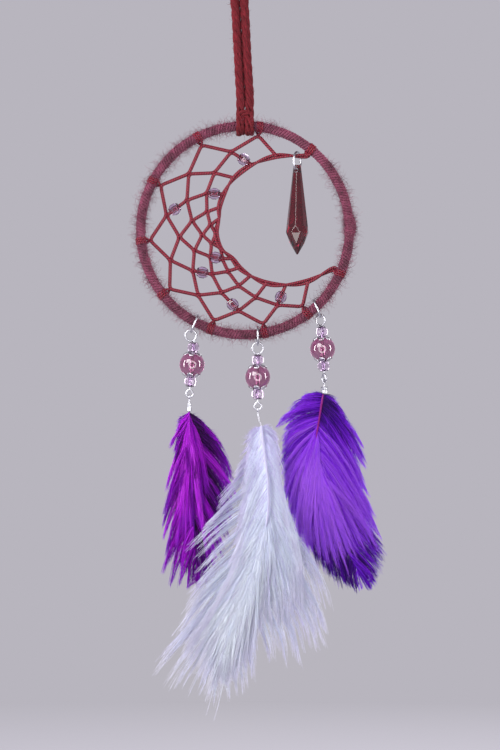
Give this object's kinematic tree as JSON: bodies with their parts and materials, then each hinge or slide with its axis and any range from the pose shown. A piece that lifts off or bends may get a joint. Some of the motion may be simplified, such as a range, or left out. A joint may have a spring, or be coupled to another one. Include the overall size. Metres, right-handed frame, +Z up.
{
  "type": "dream catcher",
  "caption": "Hanging dream catcher: a yarn-wound hoop with a crescent web, glass beads, a red crystal and beaded drops that end in purple and white feathers.",
  "frame": {"origin": "on the axis of the nail that the hanging cord loops over", "axes": "+Z up along the hanging object, -Y towards the viewer, +X to the right in the front view"},
  "size_m": [0.0815, 0.0115, 0.2465],
  "materials": {
    "hanger_cotton": "two-ply twisted cotton yarn",
    "hoop_steel": "plain wire",
    "mohair_yarn": "brushed, hairy yarn",
    "waxed_web_cord": "waxed, slight gloss",
    "amethyst_glass": "pressed facets",
    "rose_glass": "iridescent coat",
    "ruby_crystal": "cut and polished",
    "silver_wire": "bright plated",
    "silver_cap": "bright plated",
    "silver_crimp": "bright plated, pressed",
    "left_feather_barbs": "dyed feather, silky",
    "left_quill_keratin": "dyed quill, satin",
    "centre_feather_barbs": "downy feather",
    "centre_quill_keratin": "natural quill, satin",
    "right_feather_barbs": "dyed feather, silky",
    "right_quill_keratin": "dyed quill, satin"
  },
  "bodies": {
    "hanger": {"hanger_cord": "hanger_cotton"},
    "knot": {"hanger_knot": "hanger_cotton"},
    "hoop": {"hoop_ring": "hoop_steel", "hoop_wrap": "mohair_yarn", "web_net": "waxed_web_cord", "crescent_edge": "waxed_web_cord", "web_ties": "waxed_web_cord", "web_bead_1": "amethyst_glass", "web_bead_2": "amethyst_glass", "web_bead_3": "amethyst_glass", "web_bead_4": "amethyst_glass", "web_bead_5": "amethyst_glass", "web_bead_6": "amethyst_glass", "web_bead_7": "amethyst_glass"},
    "pendant": {"pendant_ring": "silver_wire"},
    "crystal": {"crystal_drop": "ruby_crystal"},
    "left_ring": {"left_jump_ring": "silver_wire"},
    "left_pin": {"left_eye_pin": "silver_wire"},
    "left_beads": {"left_upper_bead": "amethyst_glass", "left_upper_cap": "silver_cap", "left_round_bead": "rose_glass", "left_lower_cap": "silver_cap", "left_lower_bead": "amethyst_glass"},
    "left_feather": {"left_feather_link": "silver_wire", "left_crimp": "silver_crimp", "left_quill": "left_quill_keratin", "left_vane": "left_feather_barbs"},
    "centre_ring": {"centre_jump_ring": "silver_wire"},
    "centre_pin": {"centre_eye_pin": "silver_wire"},
    "centre_beads": {"centre_upper_bead": "amethyst_glass", "centre_upper_cap": "silver_cap", "centre_round_bead": "rose_glass", "centre_lower_cap": "silver_cap", "centre_lower_bead": "amethyst_glass"},
    "centre_feather": {"centre_feather_link": "silver_wire", "centre_quill": "centre_quill_keratin", "centre_vane": "centre_feather_barbs"},
    "right_ring": {"right_jump_ring": "silver_wire"},
    "right_pin": {"right_eye_pin": "silver_wire"},
    "right_beads": {"right_upper_bead": "amethyst_glass", "right_upper_cap": "silver_cap", "right_round_bead": "rose_glass", "right_lower_cap": "silver_cap", "right_lower_bead": "amethyst_glass"},
    "right_feather": {"right_feather_link": "silver_wire", "right_crimp": "silver_crimp", "right_quill": "right_quill_keratin", "right_vane": "right_feather_barbs"}
  },
  "joints": [
    {"name": "hanger_twist", "type": "hinge", "parent": "hanger", "child": "knot", "pos_m": [0.0029, 0, -0.04815], "axis": [0, 0, 1], "range_deg": [-180, 180]},
    {"name": "hoop_swing", "type": "hinge", "parent": "knot", "child": "hoop", "pos_m": [0.0029, 0, -0.0583], "axis": [1, 0, 0], "range_deg": [-60, 60]},
    {"name": "pendant_ring_swing", "type": "hinge", "parent": "hoop", "child": "pendant", "pos_m": [0.0196, 0, -0.06794], "axis": [1, 0, 0.007], "range_deg": [-60, 60]},
    {"name": "crystal_sway", "type": "hinge", "parent": "pendant", "child": "crystal", "pos_m": [0.0196, 0, -0.07254], "axis": [0.3907, 0.9205, 0], "range_deg": [-20, 20]},
    {"name": "left_ring_swing", "type": "hinge", "parent": "hoop", "child": "left_ring", "pos_m": [-0.01304, 0, -0.12105], "axis": [0.9272, 0, -0.3746], "range_deg": [0, 50]},
    {"name": "left_drop_sway", "type": "hinge", "parent": "left_ring", "child": "left_pin", "pos_m": [-0.01437, 0, -0.12434], "axis": [0, 1, 0], "range_deg": [-10, 10]},
    {"name": "left_beads_spin", "type": "hinge", "parent": "left_pin", "child": "left_beads", "pos_m": [-0.01406, 0, -0.13466], "axis": [0.0872, 0, 0.9962], "continuous": true},
    {"name": "left_feather_swing", "type": "hinge", "parent": "left_pin", "child": "left_feather", "pos_m": [-0.01496, 0, -0.14494], "axis": [1, 0, 0], "range_deg": [0, 50]},
    {"name": "centre_ring_swing", "type": "hinge", "parent": "hoop", "child": "centre_ring", "pos_m": [0.00697, 0, -0.12485], "axis": [1, 0, 0], "range_deg": [-50, 0]},
    {"name": "centre_drop_sway", "type": "hinge", "parent": "centre_ring", "child": "centre_pin", "pos_m": [0.00697, 0, -0.1284], "axis": [0, 1, 0], "range_deg": [-10, 10]},
    {"name": "centre_beads_spin", "type": "hinge", "parent": "centre_pin", "child": "centre_beads", "pos_m": [0.00697, 0, -0.13865], "axis": [0, 0, 1], "continuous": true},
    {"name": "centre_feather_swing", "type": "hinge", "parent": "centre_pin", "child": "centre_feather", "pos_m": [0.00697, 0, -0.14897], "axis": [1, 0, 0], "range_deg": [-50, 0]},
    {"name": "right_ring_swing", "type": "hinge", "parent": "hoop", "child": "right_ring", "pos_m": [0.02568, 0, -0.11613], "axis": [0.9272, 0, 0.3746], "range_deg": [0, 50]},
    {"name": "right_drop_sway", "type": "hinge", "parent": "right_ring", "child": "right_pin", "pos_m": [0.02701, 0, -0.11942], "axis": [0, 1, 0], "range_deg": [-10, 10]},
    {"name": "right_beads_spin", "type": "hinge", "parent": "right_pin", "child": "right_beads", "pos_m": [0.02774, 0, -0.12964], "axis": [-0.0523, 0, 0.9986], "continuous": true},
    {"name": "right_feather_swing", "type": "hinge", "parent": "right_pin", "child": "right_feather", "pos_m": [0.02829, 0, -0.13995], "axis": [0.5, -0.866, 0], "range_deg": [0, 50]}
  ]
}
